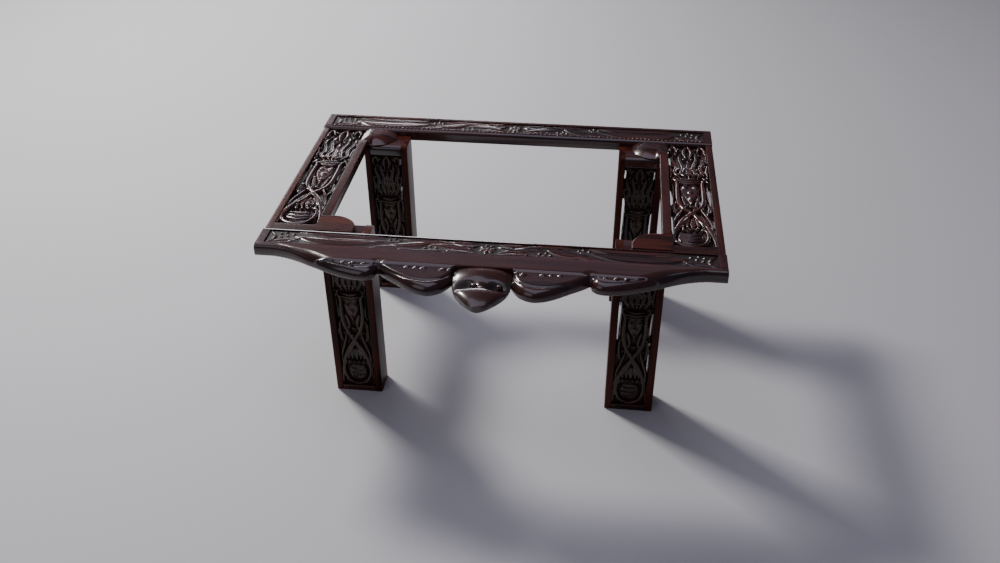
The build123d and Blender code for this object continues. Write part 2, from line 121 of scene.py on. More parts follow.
def slab(name, lines_a, lines_b, top, bottom, axes, origin, solid=None, rim=None, relief=1.0):
    """A closed solid between a top and a bottom height on a grid.

    solid is positive where there is wood, and its zero line becomes a smooth edge. rim is the
    top's height on that edge. axes are the world directions of a, b and h.
    """
    a, b = np.meshgrid(lines_a, lines_b, indexing="ij")
    top, bottom, relief = (np.broadcast_to(field, a.shape) for field in (top, bottom, relief))
    keep = np.ones((len(lines_a) - 1, len(lines_b) - 1), bool)
    if solid is not None:
        keep = (solid[:-1, :-1] + solid[1:, :-1] + solid[1:, 1:] + solid[:-1, 1:]) > 0
    near_kept = touching(keep)
    if solid is not None:
        slope_a, slope_b = np.gradient(solid, lines_a, lines_b)
        steep = np.maximum(slope_a**2 + slope_b**2, LEAST_SLOPE_SQUARED)
        reach = EDGE_MOVE * min(np.diff(lines_a).min(), np.diff(lines_b).min())
        edge = near_kept & touching(~keep)
        move_a = np.clip(-solid * slope_a / steep, -reach, reach)
        move_b = np.clip(-solid * slope_b / steep, -reach, reach)
        move_a[[0, -1], :] = 0
        move_b[:, [0, -1]] = 0
        a = a + np.where(edge, move_a, 0)
        b = b + np.where(edge, move_b, 0)
        if rim is not None:
            top = np.where(edge, rim, top)
    count = int(near_kept.sum())
    index = np.full(a.shape, -1)
    index[near_kept] = np.arange(count)
    corners = [index[:-1, :-1], index[1:, :-1], index[1:, 1:], index[:-1, 1:]]
    faces = [np.stack([c[keep] for c in corners], 1)]
    faces.append(faces[0][:, ::-1] + count)
    padded = np.pad(keep, 1)
    beside = [padded[1:-1, :-2], padded[2:, 1:-1], padded[1:-1, 2:], padded[:-2, 1:-1]]
    for side, neighbour in enumerate(beside):
        wall = keep & ~neighbour
        first, second = corners[side][wall], corners[(side + 1) % 4][wall]
        faces.append(np.stack([second, first, first + count, second + count], 1))
    faces = np.concatenate(faces)
    if np.linalg.det(np.array(axes)) < 0:
        faces = faces[:, ::-1]
    points = np.concatenate([np.stack([a, b, h], -1)[near_kept] for h in (top, bottom)])
    shade = np.concatenate([relief[near_kept], np.full(count, UNDERSIDE_RELIEF)])
    return make_mesh(name, points @ np.array(axes) + np.array(origin), faces, shade)


def edge_drop(distance, radius):
    """How far a rounded edge lies below the flat, at a distance in from the edge."""
    inward = np.clip(radius - distance, 0, radius)
    return radius - np.sqrt(np.maximum(radius**2 - inward**2, 0))


def eased(share):
    """A smooth step from 0 to 1."""
    share = np.clip(share, 0, 1)
    return share * share * (3 - 2 * share)


def softened(field, times):
    """A field with its creases smoothed by averaging each value with its neighbours."""
    for _ in range(times):
        padded = np.pad(field, 1, mode="edge")
        beside = padded[:-2, 1:-1] + padded[2:, 1:-1] + padded[1:-1, :-2] + padded[1:-1, 2:]
        field = 0.5 * field + 0.125 * beside
    return field


def rounded_board(node, ending, looks, size, axes, origin, edges, carve=None, extra=((), ())):
    """A board in place of a CAD node, with its looks (wood, slot).

    edges are the radii of the top's and the bottom's edges, each at low a, high a, low b and high b.
    carve tells how deep the top is cut at (a, b), and extra holds more grid lines along a and b.
    """
    top_edges, bottom_edges = edges
    length_a, length_b, height = size
    radii = np.maximum(top_edges, bottom_edges)
    lines_a = np.union1d(edge_lines(length_a, radii[0], radii[1]), extra[0])
    lines_b = np.union1d(edge_lines(length_b, radii[2], radii[3]), extra[1])
    a, b = np.meshgrid(lines_a, lines_b, indexing="ij")

    def drops(edges):
        """How far the rounded edges lie in from the flat face."""
        across = edge_drop(a, edges[0]) + edge_drop(length_a - a, edges[1])
        along = edge_drop(b, edges[2]) + edge_drop(length_b - b, edges[3])
        return np.minimum(np.hypot(across, along), max(edges))

    top = height - drops(top_edges)
    if carve is not None:
        top = top - carve(a, b)
    piece = slab(f"{node}_{ending}", lines_a, lines_b, top, drops(bottom_edges), axes, origin)
    finish_piece(piece, *looks, node)


def smooth_path(points, per_span=7):
    """A smooth curve through control points; every column, such as a width, is smoothed too."""
    p = np.array(points, float)
    p = np.vstack([2 * p[0] - p[1], p, 2 * p[-1] - p[-2]])
    t = np.linspace(0, 1, per_span, endpoint=False)[:, None]
    spans = []
    for k in range(1, len(p) - 2):
        before, start, end, after = p[k - 1 : k + 3]
        linear = (end - before) * t
        square = (2 * before - 5 * start + 4 * end - after) * t**2
        cube = (3 * start - before - 3 * end + after) * t**3
        spans.append(0.5 * (2 * start + linear + square + cube))
    return np.vstack(spans + [p[-2:-1]])


def segment_distances(a, b, line):
    """For each segment of a line: the share of it at its nearest place, and the distance from there."""
    for (a0, b0), (a1, b1) in zip(line[:-1], line[1:]):
        step_a, step_b = a1 - a0, b1 - b0
        squared = max(step_a**2 + step_b**2, TINY)
        share = np.clip(((a - a0) * step_a + (b - b0) * step_b) / squared, 0, 1)
        yield share, np.hypot(a - a0 - share * step_a, b - b0 - share * step_b)


def path_distance(a, b, path):
    """For each grid point: the margin inside a stroke, the distance to its middle and its half width."""
    margin = np.full(a.shape, -FAR)
    distance = np.full(a.shape, FAR)
    half = np.ones(a.shape)
    segments = segment_distances(a, b, path[:, :2])
    for w0, w1, (share, away) in zip(path[:-1, 2], path[1:, 2], segments):
        width = w0 + share * (w1 - w0)
        better = width - away > margin
        margin = np.where(better, width - away, margin)
        distance = np.where(better, away, distance)
        half = np.where(better, width, half)
    return margin, distance, half


def line_distance(a, b, line):
    """Distance from each grid point to an open line of points."""
    nearest = np.full(a.shape, FAR)
    for _, away in segment_distances(a, b, line):
        nearest = np.minimum(nearest, away)
    return nearest


def ring_distance(a, b, ring):
    """How far inside a closed outline each grid point lies (negative outside)."""
    inside = np.zeros(a.shape, bool)
    nearest = line_distance(a, b, np.vstack([ring, ring[:1]]))
    for (a0, b0), (a1, b1) in zip(ring, np.roll(ring, -1, axis=0)):
        if b0 != b1:
            crosses = (b0 > b) != (b1 > b)
            inside ^= crosses & (a < a0 + (b - b0) * (a1 - a0) / (b1 - b0))
    return np.where(inside, nearest, -nearest)


class Carving:
    """A carved relief on a grid: strokes, leaves, beads and closed shapes over a sunk ground."""

    # Room in the grid around a shape, and the half width of a stroke's thinnest end.
    ROOM = 4.0
    LEAST_HALF_WIDTH = 0.25
    # Shares of a stroke's half width: where it has its full height, and how wide its groove is.
    FULL_HEIGHT_WIDTH = 0.55
    GROOVE_WIDTH = 0.24
    # How much lower a closed shape's edge is than its middle.
    CROWN = 0.15

    def __init__(self, lines_a, lines_b, ground, top, roundness):
        self.lines_a, self.lines_b = lines_a, lines_b
        self.a, self.b = np.meshgrid(lines_a, lines_b, indexing="ij")
        self.ground, self.top = ground, top
        self.roundness = roundness
        self.height = np.full(self.a.shape, float(ground))
        self.margin, self.gaps, self.cuts = (np.full(self.a.shape, -FAR) for _ in range(3))

    def window(self, low, high):
        """The part of the grid within a box, with a little room around it."""
        i0, i1 = np.searchsorted(self.lines_a, [low[0] - self.ROOM, high[0] + self.ROOM])
        j0, j1 = np.searchsorted(self.lines_b, [low[1] - self.ROOM, high[1] + self.ROOM])
        return slice(i0, i1), slice(j0, j1)

    def near(self, path):
        """The part of the grid around a path of (a, b, half width)."""
        widest = path[:, 2].max()
        return self.window(path[:, :2].min(0) - widest, path[:, :2].max(0) + widest)

    def raise_to(self, part, margin, height):
        """Keep the higher of what is there and a new shape."""
        height = np.clip(height, self.ground, self.top)
        self.height[part] = np.where(margin > 0, np.maximum(self.height[part], height), self.height[part])
        self.margin[part] = np.maximum(self.margin[part], margin)

    def crest(self, level):
        """The height of a shape's crest, from its share of the full relief."""
        return self.ground + level * (self.top - self.ground)

    def stroke(self, points, level=1.0, groove=0.0):
        """A round-backed stem or leaf through (a, b, half width) points, with an optional groove."""
        path = smooth_path(points)
        path[:, 2] = np.maximum(path[:, 2], self.LEAST_HALF_WIDTH)
        part = self.near(path)
        margin, distance, half = path_distance(self.a[part], self.b[part], path)
        taper = np.clip(half / (self.FULL_HEIGHT_WIDTH * path[:, 2].max()), 0, 1) ** 0.5
        fall = np.minimum(half, self.roundness)
        off = 1 - np.sqrt(np.maximum(1 - (distance / half) ** 2, 0))
        vein = groove * fall * np.exp(-((distance / (self.GROOVE_WIDTH * half)) ** 2))
        self.raise_to(part, margin, self.crest(level * taper) - fall * off - vein)

    def bead(self, a, b, radius, level=1.0):
        """A round berry."""
        part = self.window((a - radius, b - radius), (a + radius, b + radius))
        away = np.hypot(self.a[part] - a, self.b[part] - b)
        off = radius - np.sqrt(np.maximum(radius**2 - away**2, 0))
        self.raise_to(part, radius - away, self.crest(level) - off)

    def shape(self, ring, level, bevel):
        """A closed shape whose surface climbs over a bevel and then swells slightly."""
        part = self.window(ring.min(0), ring.max(0))
        margin = ring_distance(self.a[part], self.b[part], ring)
        swell = 1 - self.CROWN * (1 - np.clip(margin / max(margin.max(), 1.0), 0, 1))
        self.raise_to(part, margin, self.crest(level * swell) - edge_drop(margin, bevel))

    def gap(self, points, clear=False):
        """A see-through gap along (a, b, half width) points; a clear one also cuts the carved shapes."""
        path = smooth_path(points)
        part = self.near(path)
        margin = path_distance(self.a[part], self.b[part], path)[0]
        target = self.cuts if clear else self.gaps
        target[part] = np.maximum(target[part], margin)

    def solid(self):
        """How far inside the wood each grid point lies (negative in a gap)."""
        return np.minimum(np.maximum(self.margin, -self.gaps), -self.cuts)

    def relief(self):
        """The height over the ground, as a share of the full relief."""
        return (self.height - self.ground) / (self.top - self.ground)


# ---- materials
LIGHT_WOOD = (0.088, 0.018, 0.010, 1)
DARK_WOOD = (0.018, 0.0048, 0.0038, 1)
RED_WOOD = (0.100, 0.021, 0.011, 1)
LIP_WOOD = (0.064, 0.017, 0.011, 1)
DIM_WOOD = (0.062, 0.027, 0.011, 1)
DOWEL_LIGHT = (0.42, 0.27, 0.14, 1)
DOWEL_DARK = (0.25, 0.14, 0.07, 1)
# Painted shade: colours that darken the sunk ground of the carvings in place of the shadow in their hollows;
# the legs' one is lighter.
PAINTED_SHADE = (0.010, 0.0038, 0.0028, 1)
LEG_PAINTED_SHADE = (0.030, 0.013, 0.007, 1)
COAT = 0.85
COAT_ROUGHNESS = 0.09
WOOD_IOR = 1.5
BUMP_STRENGTH = 0.11
BUMP_DISTANCE = 0.0004
# How often each pattern repeats in a metre, across the grain and along it.
FIGURE_SCALE = (38.0, 2.6)
STREAK_SCALE = (330.0, 9.0)
PORE_SCALE = (1500.0, 45.0)
PATCH_SCALE = 9.0
# Ramps are (value of the pattern, brightness), and each darkening pattern has a strength.
FIGURE_PLACES = (0.30, 0.55, 0.62, 0.78)
STREAKS = ([(0.32, 0.35), (0.52, 1.0), (0.72, 0.62)], 0.75)
PORES = ([(0.36, 0.25), (0.46, 1.0)], 0.55)
PATCHES = ([(0.35, 0.62), (0.68, 1.0)], 0.8)
ROUGHNESS = [(0.3, 0.27), (0.7, 0.17)]
# Ramps over a carving's relief: where the painted shade of the sunk ground starts, worn crests, a dusty
# ground and a coat that is thin there.
PAINTED_SHADE_START = 0.08
WORN_CRESTS = [(0.86, 0.0), (1.0, 0.35)]
GROUND_DUST = [(0.05, 0.40), (0.5, 0.0)]
GROUND_COAT = (0.15, 0.05)
FULL_COAT_FROM = 0.6


def link(tree, source, target):
    """Connect an output to an input."""
    tree.links.new(source, target)


def add_node(tree, kind, **values):
    """A shader node with some of its properties set."""
    node = tree.nodes.new(kind)
    for name, value in values.items():
        setattr(node, name, value)
    return node


def ramp(tree, factor, stops):
    """A colour ramp driven by a value; stops are (place, colour or brightness)."""
    node = add_node(tree, "ShaderNodeValToRGB")
    elements = node.color_ramp.elements
    stops = [(place, c if isinstance(c, tuple) else (c, c, c, 1)) for place, c in stops]
    elements[0].position, elements[0].color = stops[0]
    elements[1].position, elements[1].color = stops[-1]
    for place, colour in stops[1:-1]:
        elements.new(place).color = colour
    link(tree, factor, node.inputs["Fac"])
    return node.outputs["Color"]


def mix(tree, kind, factor, first, second):
    """Mix two colours; the factor and the colours may each be a socket or a value."""
    node = add_node(tree, "ShaderNodeMix", data_type="RGBA", blend_type=kind)
    for name, sort, value in (("Factor", "VALUE", factor), ("A", "RGBA", first), ("B", "RGBA", second)):
        socket = next(s for s in node.inputs if s.name == name and s.type == sort)
        if isinstance(value, bpy.types.NodeSocket):
            link(tree, value, socket)
        else:
            socket.default_value = value
    return next(s for s in node.outputs if s.type == "RGBA")


def noise(tree, place, scale, detail, distortion=0.0, roughness=0.5):
    """A noise pattern's value at a place."""
    node = add_node(tree, "ShaderNodeTexNoise")
    values = {"Scale": scale, "Detail": detail, "Distortion": distortion, "Roughness": roughness}
    for socket, value in values.items():
        node.inputs[socket].default_value = value
    link(tree, place, node.inputs["Vector"])
    return node.outputs["Fac"]


def polished_wood(
    name, grain, light=LIGHT_WOOD, dark=DARK_WOOD, coat=COAT, gloss=0.5, rough=0.0,
    carved=False, painted_shade_colour=PAINTED_SHADE, painted_shade_end=0.5,
):
    """Polished dark hardwood whose grain runs along x, y or z.

    coat and gloss are the strengths of its two reflections and rough is added to its roughness.
    Where it is carved, the sunk ground is darkened towards a painted shade colour, which fades out up to a
    given relief.
    """
    material = bpy.data.materials.new(name)
    material.use_nodes = True
    tree = material.node_tree
    tree.nodes.clear()
    shader = add_node(tree, "ShaderNodeBsdfPrincipled")
    output = add_node(tree, "ShaderNodeOutputMaterial")
    link(tree, shader.outputs["BSDF"], output.inputs["Surface"])
    coordinates = add_node(tree, "ShaderNodeTexCoord").outputs["Object"]

    def stretched(scale):
        """Places in the wood for a pattern that is drawn out along the grain."""
        across, along = scale
        mapping = add_node(tree, "ShaderNodeMapping")
        mapping.inputs["Scale"].default_value = [along if axis == grain else across for axis in "xyz"]
        link(tree, coordinates, mapping.inputs["Vector"])
        return mapping.outputs["Vector"]

    figure = noise(tree, stretched(FIGURE_SCALE), 1.0, detail=4.0, distortion=0.9)
    streaks = noise(tree, stretched(STREAK_SCALE), 1.0, detail=5.0, distortion=0.35, roughness=0.62)
    pores = noise(tree, stretched(PORE_SCALE), 1.0, detail=2.0)
    patches = noise(tree, coordinates, PATCH_SCALE, detail=2.0)
    colour = ramp(tree, figure, list(zip(FIGURE_PLACES, (dark, light, dark, light))))
    for pattern, (stops, strength) in ((streaks, STREAKS), (pores, PORES), (patches, PATCHES)):
        colour = mix(tree, "MULTIPLY", strength, colour, ramp(tree, pattern, stops))
    sheen = ramp(tree, patches, [(place, value + rough) for place, value in ROUGHNESS])
    if carved:
        relief = add_node(tree, "ShaderNodeAttribute", attribute_name="relief").outputs["Fac"]
        # Painted shade: the sunk ground is darkened where the relief is low.
        depth = ramp(tree, relief, [(PAINTED_SHADE_START, 1.0), (painted_shade_end, 0.0)])
        colour = mix(tree, "MIX", depth, colour, painted_shade_colour)
        colour = mix(tree, "MIX", ramp(tree, relief, WORN_CRESTS), colour, light)
        sheen = mix(tree, "ADD", 1.0, sheen, ramp(tree, relief, GROUND_DUST))
        coat_weight = ramp(tree, relief, [GROUND_COAT, (FULL_COAT_FROM, coat)])
        link(tree, coat_weight, shader.inputs["Coat Weight"])
    link(tree, colour, shader.inputs["Base Color"])
    link(tree, sheen, shader.inputs["Roughness"])
    bump = add_node(tree, "ShaderNodeBump")
    bump.inputs["Strength"].default_value = BUMP_STRENGTH
    bump.inputs["Distance"].default_value = BUMP_DISTANCE
    link(tree, streaks, bump.inputs["Height"])
    link(tree, bump.outputs["Normal"], shader.inputs["Normal"])
    shader.inputs["Coat Weight"].default_value = coat
    shader.inputs["Coat Roughness"].default_value = COAT_ROUGHNESS
    shader.inputs["IOR"].default_value = WOOD_IOR
    shader.inputs["Specular IOR Level"].default_value = gloss
    return material


WOOD = {
    "frame_x": polished_wood("rail_wood", "x"),
    # The lip's wood and the carved woods paint shade into their sunk ground.
    "lip": polished_wood("lip_wood", "x", light=LIP_WOOD, carved=True),
    "satin_x": polished_wood("cross_strip_wood", "x", light=RED_WOOD, coat=0.06, gloss=0.4, rough=0.04),
    "satin_y": polished_wood("stile_wood", "y", light=RED_WOOD, coat=0.12, gloss=0.4, rough=0.04),
    "ear": polished_wood("ear_wood", "x", light=RED_WOOD, coat=0.0, gloss=0.25, rough=0.08),
    "leg": polished_wood("leg_wood", "z", light=RED_WOOD, coat=0.0, gloss=0.12, rough=0.12),
    "carved_x": polished_wood("strip_wood", "x", coat=0.5, carved=True, painted_shade_end=0.30),
    "carved_y": polished_wood("side_carving_wood", "y", carved=True),
    "carved_z": polished_wood(
        "leg_carving_wood", "z", light=DIM_WOOD, coat=0.35, gloss=0.25,
        carved=True, painted_shade_colour=LEG_PAINTED_SHADE, painted_shade_end=0.3,
    ),
    "dowel": polished_wood("dowel_wood", "z", light=DOWEL_LIGHT, dark=DOWEL_DARK),
}


def finish_piece(piece, wood, slot, *nodes):
    """Give a piece its wood and its body, and hide the CAD nodes that it stands for; the slot is not used."""
    piece.data.materials.append(WOOD[wood])
    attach(piece, "root")
    if nodes:
        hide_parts(*nodes)


# ---- the vase-and-scroll design
# Points are (across, along, half width in mm): across is in hundredths of the panel's half width,
# positive away from the middle of the stand, and along is in thousandths of its length from the
# pot end. The heart, the pot and their rims are symmetrical, so only half of each is listed.
STEMS = [
    [(-97, 20, 1.8), (-93, 95, 2.9), (-78, 175, 3.5), (-46, 265, 3.5), (0, 345, 3.2),
     (40, 415, 3.4), (60, 490, 3.6), (63, 570, 3.3), (62, 640, 2.6), (80, 680, 1.7)],
    [(-90, 150, 1.2), (-70, 205, 2.2), (-40, 245, 2.4), (-12, 300, 2), (0, 320, 1.4)],
    [(90, 180, 1.2), (86, 240, 2.3), (66, 305, 2.6), (52, 355, 2.1), (44, 395, 1.2)],
    [(10, 900, 1.2), (20, 945, 2.8), (6, 985, 2)],
    [(52, 945, 1.2), (66, 985, 2.6), (86, 970, 2.4), (93, 920, 1.4)],
    [(92, 720, 1.4), (89, 780, 2.4), (97, 840, 1.2)],
]
LEAVES = [
    [(2, 190, 0.8), (4, 235, 2.7), (0, 290, 0.8)],
    [(22, 190, 0.8), (26, 230, 2.7), (12, 280, 0.8)],
    [(48, 192, 0.8), (46, 224, 2.2), (30, 262, 0.6)],
    [(68, 325, 0.5), (84, 375, 3.6), (88, 430, 3.6), (74, 490, 0.5)],
    [(30, 415, 0.5), (24, 455, 2.4), (33, 500, 2.8), (42, 545, 0.6)],
    [(90, 480, 0.4), (87, 530, 2.8), (89, 590, 2.6), (84, 650, 0.4)],
    [(66, 705, 0.8), (80, 680, 2.1), (93, 645, 0.6)],
    [(0, 695, 1), (5, 780, 3), (0, 890, 0.8)],
    [(14, 700, 1.2), (35, 755, 3.8), (25, 825, 3.6), (42, 895, 2.6), (34, 950, 0.6)],
    [(42, 700, 1), (69, 755, 3.6), (60, 825, 3.6), (80, 885, 2.6), (72, 930, 0.6)],
    [(98, 125, 0.4), (95, 160, 1.8), (86, 215, 0.4)],
    [(96, 860, 0.4), (95, 900, 2), (98, 960, 0.4)],
]
BERRIES = [
    (44, 178, 3.4), (14, 178, 2.4), (20, 888, 2.4), (44, 968, 2.6), (60, 925, 2.4),
    (86, 940, 2.3), (15, 800, 2), (47, 795, 2.3), (48, 732, 2.2), (90, 700, 2.2),
    (16, 735, 2), (84, 835, 2.2), (10, 382, 2), (62, 244, 2.2), (14, 325, 2.2),
    (58, 400, 2), (4, 432, 2.2),
]
HEART = [(0, 470), (16, 500), (38, 545), (48, 590), (38, 622), (16, 630), (0, 618)]
HEART_RIM = [
    [(-48, 640, 1), (-24, 634, 2.3), (0, 630, 2.4)],
    [(-60, 660, 1.2), (-28, 654, 2.4), (0, 650, 2.5)],
    [(-48, 680, 0.9), (-22, 674, 2.1), (0, 671, 2.2)],
]
HEART_BUMPS = [(25, 594, 5.2), (0, 556, 5.2), (0, 512, 3.4)]
POT = [(0, 36), (34, 46), (58, 78), (60, 114), (46, 148), (0, 156)]
POT_RINGS = [
    [(-42, 68, 0.9), (0, 58, 2)],
    [(-54, 98, 1), (0, 88, 2.3)],
    [(-52, 130, 1), (0, 120, 2.3)],
    [(-62, 184, 1.6), (-78, 150, 2.4), (-80, 96, 2.8), (-62, 44, 2.9), (-30, 20, 2.9), (0, 12, 2.6)],
]
LEG_GAPS = [
    [(-93, 375, 1), (-95, 450, 1.4), (-93, 580, 2), (-92, 700, 2.3), (-94, 770, 1)],
    [(94, 140, 1), (95, 250, 1.5), (94, 380, 1.2)],
    [(94, 420, 1), (93, 540, 1.9), (94, 660, 1.2)],
    [(-92, 850, 0.8), (-93, 900, 1.7), (-93, 970, 0.8)],
    [(92, 850, 0.8), (93, 900, 1.7), (93, 970, 0.8)],
]
LEG_OPENINGS = [
    [(0, 765, 1.2), (0, 800, 2.6), (0, 835, 1.2)],
    [(-50, 485, 1), (-46, 530, 3.4), (-50, 575, 1)],
    [(48, 480, 0.8), (47, 530, 2.4), (50, 575, 0.8)],
    [(-12, 190, 1), (0, 225, 2.2), (12, 190, 1)],
    [(56, 245, 1), (60, 270, 2.2), (58, 290, 1)],
    [(-56, 245, 1), (-60, 270, 2.2), (-58, 290, 1)],
]
# How far along each feature of the leg's design lies on the longer side panel.
ALONG_LEG = [0.0, 0.17, 0.30, 0.468, 0.60, 0.66, 0.735, 0.84, 1.0]
ALONG_SIDE = [0.0, 0.145, 0.274, 0.385, 0.555, 0.615, 0.685, 0.775, 1.0]
# How high each kind of shape stands, as a share of the full relief.
LEAF_LEVEL = 0.80
STEM_LEVELS = {1: 0.95, -1: 0.90}
BERRY_LEVEL = 0.92
HEART_LEVEL = 0.70
POT_LEVEL = 0.66
RIM_LEVEL = 0.97
LEAF_GROOVE = 0.34
OUTLINE_BEVEL = 3.0
PANEL_STEP = 0.62
PANEL_ROUNDNESS = 3.4
# How far the highest carving lies below a panel's face.
PANEL_SINK = 0.6


def shares(points):
    """Design points with across and along as shares of the half width and the length."""
    return np.array(points, float) / (100, 1000, 1)[: len(points[0])]


def mirrored(points):
    """A symmetrical line from its points up to the middle."""
    return points + [(-across, *rest) for across, *rest in points[-2::-1]]


def vase_and_scroll(carving, half_width, length, along, hand, pot_shift):
    """Carve the design.

    along maps a share of the leg's length to this panel's. hand is -1 to turn the design over and
    pot_shift moves the pot across.
    """

    def place(points, side=1, shift=0.0):
        """Design points as millimetres, mirrored where side is -1."""
        table = shares(points)
        table[:, 0] = hand * (side * table[:, 0] + shift) * half_width
        table[:, 1] = along(table[:, 1]) * length
        return table

    def beads(points, side, level):
        """Berries at design points whose last value is the radius."""
        for (across, reach, _), (_, _, radius) in zip(place(points, side), points):
            carving.bead(across, reach, radius, level)

    for side in (1, -1):
        for leaf in LEAVES:
            carving.stroke(place(leaf, side), level=LEAF_LEVEL, groove=LEAF_GROOVE)
        for stem in STEMS:
            carving.stroke(place(stem, side), level=STEM_LEVELS[side])
        beads(BERRIES, side, BERRY_LEVEL)
    for outline, level, shift in ((HEART, HEART_LEVEL, 0.0), (POT, POT_LEVEL, pot_shift)):
        closed = place(mirrored(outline), shift=shift)
        carving.shape(smooth_path(closed, 5)[:-1], level, OUTLINE_BEVEL)
    for side in (1, -1):
        beads(HEART_BUMPS, side, 1.0)
    for ring in HEART_RIM:
        carving.stroke(place(mirrored(ring)), level=RIM_LEVEL)
    for ring in POT_RINGS:
        carving.stroke(place(mirrored(ring), shift=pot_shift), level=RIM_LEVEL)


def pierced_panel(node, size, ground, design, clear, openings, axes, origin, wood):
    """A pierced carved panel; size is its half width, length and thickness."""
    half_width, length, thickness = size
    lines_a = spaced(2 * half_width, PANEL_STEP) - half_width
    lines_b = spaced(length, PANEL_STEP)
    carving = Carving(lines_a, lines_b, ground, thickness - PANEL_SINK, PANEL_ROUNDNESS)
    vase_and_scroll(carving, half_width, length, *design)
    for points in clear + openings:
        carving.gap(shares(points) * (half_width, length, 1), clear=points in clear)
    piece = slab(
        f"{node}_carving", lines_a, lines_b, softened(carving.height, 1), 0, axes, origin,
        solid=carving.solid(), relief=softened(carving.relief(), 1),
    )
    finish_piece(piece, wood, "carved_wood", node)


# ---- legs
STILE_ARRIS = 2.6
INNER_ARRIS = 1.4
END_ARRIS = 1.0
LEG_TOP_ROUND = 9.0
LEG_TOP_ARRIS = 0.6
PANEL_GROUND = 6.0


def leg(corner):
    """Every visible piece of one leg: two stiles, the cap and foot between them, and two panels."""
    side, inward = corner_signs(corner)
    axes = (side * X_AXIS, Z_AXIS, inward * Y_AXIS)
    boxes = {which: box_mm(f"{corner}_leg_{which}_stile") for which in ("inner", "outer")}
    arrises = {"inner": (STILE_ARRIS, INNER_ARRIS), "outer": (INNER_ARRIS, STILE_ARRIS)}
    for which, box in boxes.items():
        node = f"{corner}_leg_{which}_stile"
        width, depth, height = box[1] - box[0]
        edges = [(*arrises[which], END_ARRIS, top_end) for top_end in (LEG_TOP_ROUND, LEG_TOP_ARRIS)]
        size = (width, height, depth)
        rounded_board(node, "carved", ("leg", "leg_wood"), size, axes, start_corner(box, side, inward), edges)
    stile_width, depth, _ = boxes["inner"][1] - boxes["inner"][0]
    span = abs(boxes["outer"][0][0] - boxes["inner"][0][0]) - stile_width
    start_x = start_corner(boxes["inner"], -side)[0]
    rail_y = start_corner(boxes["inner"], side, inward)[1]
    cap_edges = [(0, 0, INNER_ARRIS, top_end) for top_end in (LEG_TOP_ROUND, LEG_TOP_ARRIS)]
    foot_edges = [(0, 0, END_ARRIS, INNER_ARRIS)] * 2
    for part, wood, edges in (("cap", "frame_x", cap_edges), ("foot", "satin_x", foot_edges)):
        node = f"{corner}_leg_{part}"
        low, high = box_mm(node)
        size = (span, high[2] - low[2], depth)
        rounded_board(node, "rounded", (wood, "leg_wood"), size, axes, (start_x, rail_y, low[2]), edges)
    for which in ("outer", "inner"):
        node = f"{corner}_leg_{which}_panel"
        low, high = box_mm(node)
        facing = -inward if which == "outer" else inward
        back_y = start_corner((low, high), side, facing)[1]
        pierced_panel(
            node, (span / 2, high[2] - low[2], high[1] - low[1]), PANEL_GROUND,
            (lambda share: share, 1, 0.0), LEG_GAPS, LEG_OPENINGS,
            (side * X_AXIS, Z_AXIS, facing * Y_AXIS), (start_x + side * span / 2, back_y, low[2]), "carved_z",
        )


# ---- sides
SIDE_GAPS = [
    [(-93, 100, 1), (-94, 200, 1.9), (-94, 290, 1.9), (-93, 330, 1)],
    [(-92, 400, 1.2), (-92, 500, 2.4), (-93, 580, 1.2)],
    [(-92, 800, 1), (-92, 870, 2.2), (-92, 930, 1)],
    [(94, 380, 0.9), (93, 480, 1.9), (94, 600, 1)],
]
SIDE_OPENINGS = [
    [(93, 180, 1), (94, 240, 1.8), (93, 310, 1)],
    [(-14, 315, 1), (0, 345, 3.2), (14, 315, 1)],
    [(-54, 400, 1), (-48, 445, 3.4), (-52, 490, 1)],
    [(52, 400, 1), (48, 445, 3), (52, 490, 1)],
    [(0, 710, 0.8), (0, 740, 2.2), (0, 765, 0.8)],
    [(-55, 180, 1.4), (-30, 190, 2.4), (-8, 185, 1.4)],
    [(55, 180, 1.4), (30, 190, 2.4), (8, 185, 1.4)],
    [(92, 860, 1), (93, 910, 2), (92, 960, 1)],
]
SIDE_GROUND = 8.5
SIDE_POT_SHIFT = -0.14
ARRIS = 0.4
BAR_ROUND = 1.2
# Each board's wood, and the radii of its top and bottom edges.
FRAME_BOARDS = {
    "cross_strip": ("satin_x", (0, 0, ARRIS, 1.2), (0, 0, ARRIS, 0.8)),
    "outer_stile": ("satin_y", (ARRIS, 3.0, ARRIS, ARRIS), (ARRIS, 1.5, ARRIS, ARRIS)),
    "inner_bar": ("satin_y", (BAR_ROUND, BAR_ROUND, ARRIS, ARRIS), (BAR_ROUND, BAR_ROUND, ARRIS, ARRIS)),
}


def frame_board(name, part, side, axes):
    """A plain board of one side of the frame."""
    node = f"{name}_{part}"
    box = box_mm(node)
    wood, *edges = FRAME_BOARDS[part]
    size = box[1] - box[0]
    rounded_board(node, "rounded", (wood, "frame_wood"), size, axes, start_corner(box, side), edges)
    return box


def side_frame(name):
    """Every visible piece of one side of the frame."""
    side = -1 if name == "left" else 1
    axes = (side * X_AXIS, Y_AXIS, Z_AXIS)
    strip = frame_board(name, "cross_strip", side, axes)
    width = strip[1][0] - strip[0][0]
    node = f"{name}_carved_panel"
    low, high = box_mm(node)
    pierced_panel(
        node, (width / 2, high[1] - low[1], high[2] - low[2]), SIDE_GROUND,
        (lambda share: np.interp(share, ALONG_LEG, ALONG_SIDE), side, SIDE_POT_SHIFT),
        SIDE_GAPS, SIDE_OPENINGS, axes, (start_corner(strip, side)[0] + side * width / 2, low[1], low[2]),
        "carved_y",
    )
    frame_board(name, "outer_stile", side, axes)
    frame_board(name, "inner_bar", side, axes)


EAR_STEP = 0.8
EAR_TURNS = 28
EAR_SHOULDER = 33.0
EAR_CHEEK = 10.0
# How far an ear's outline runs on past its block.
EAR_PAST = 9
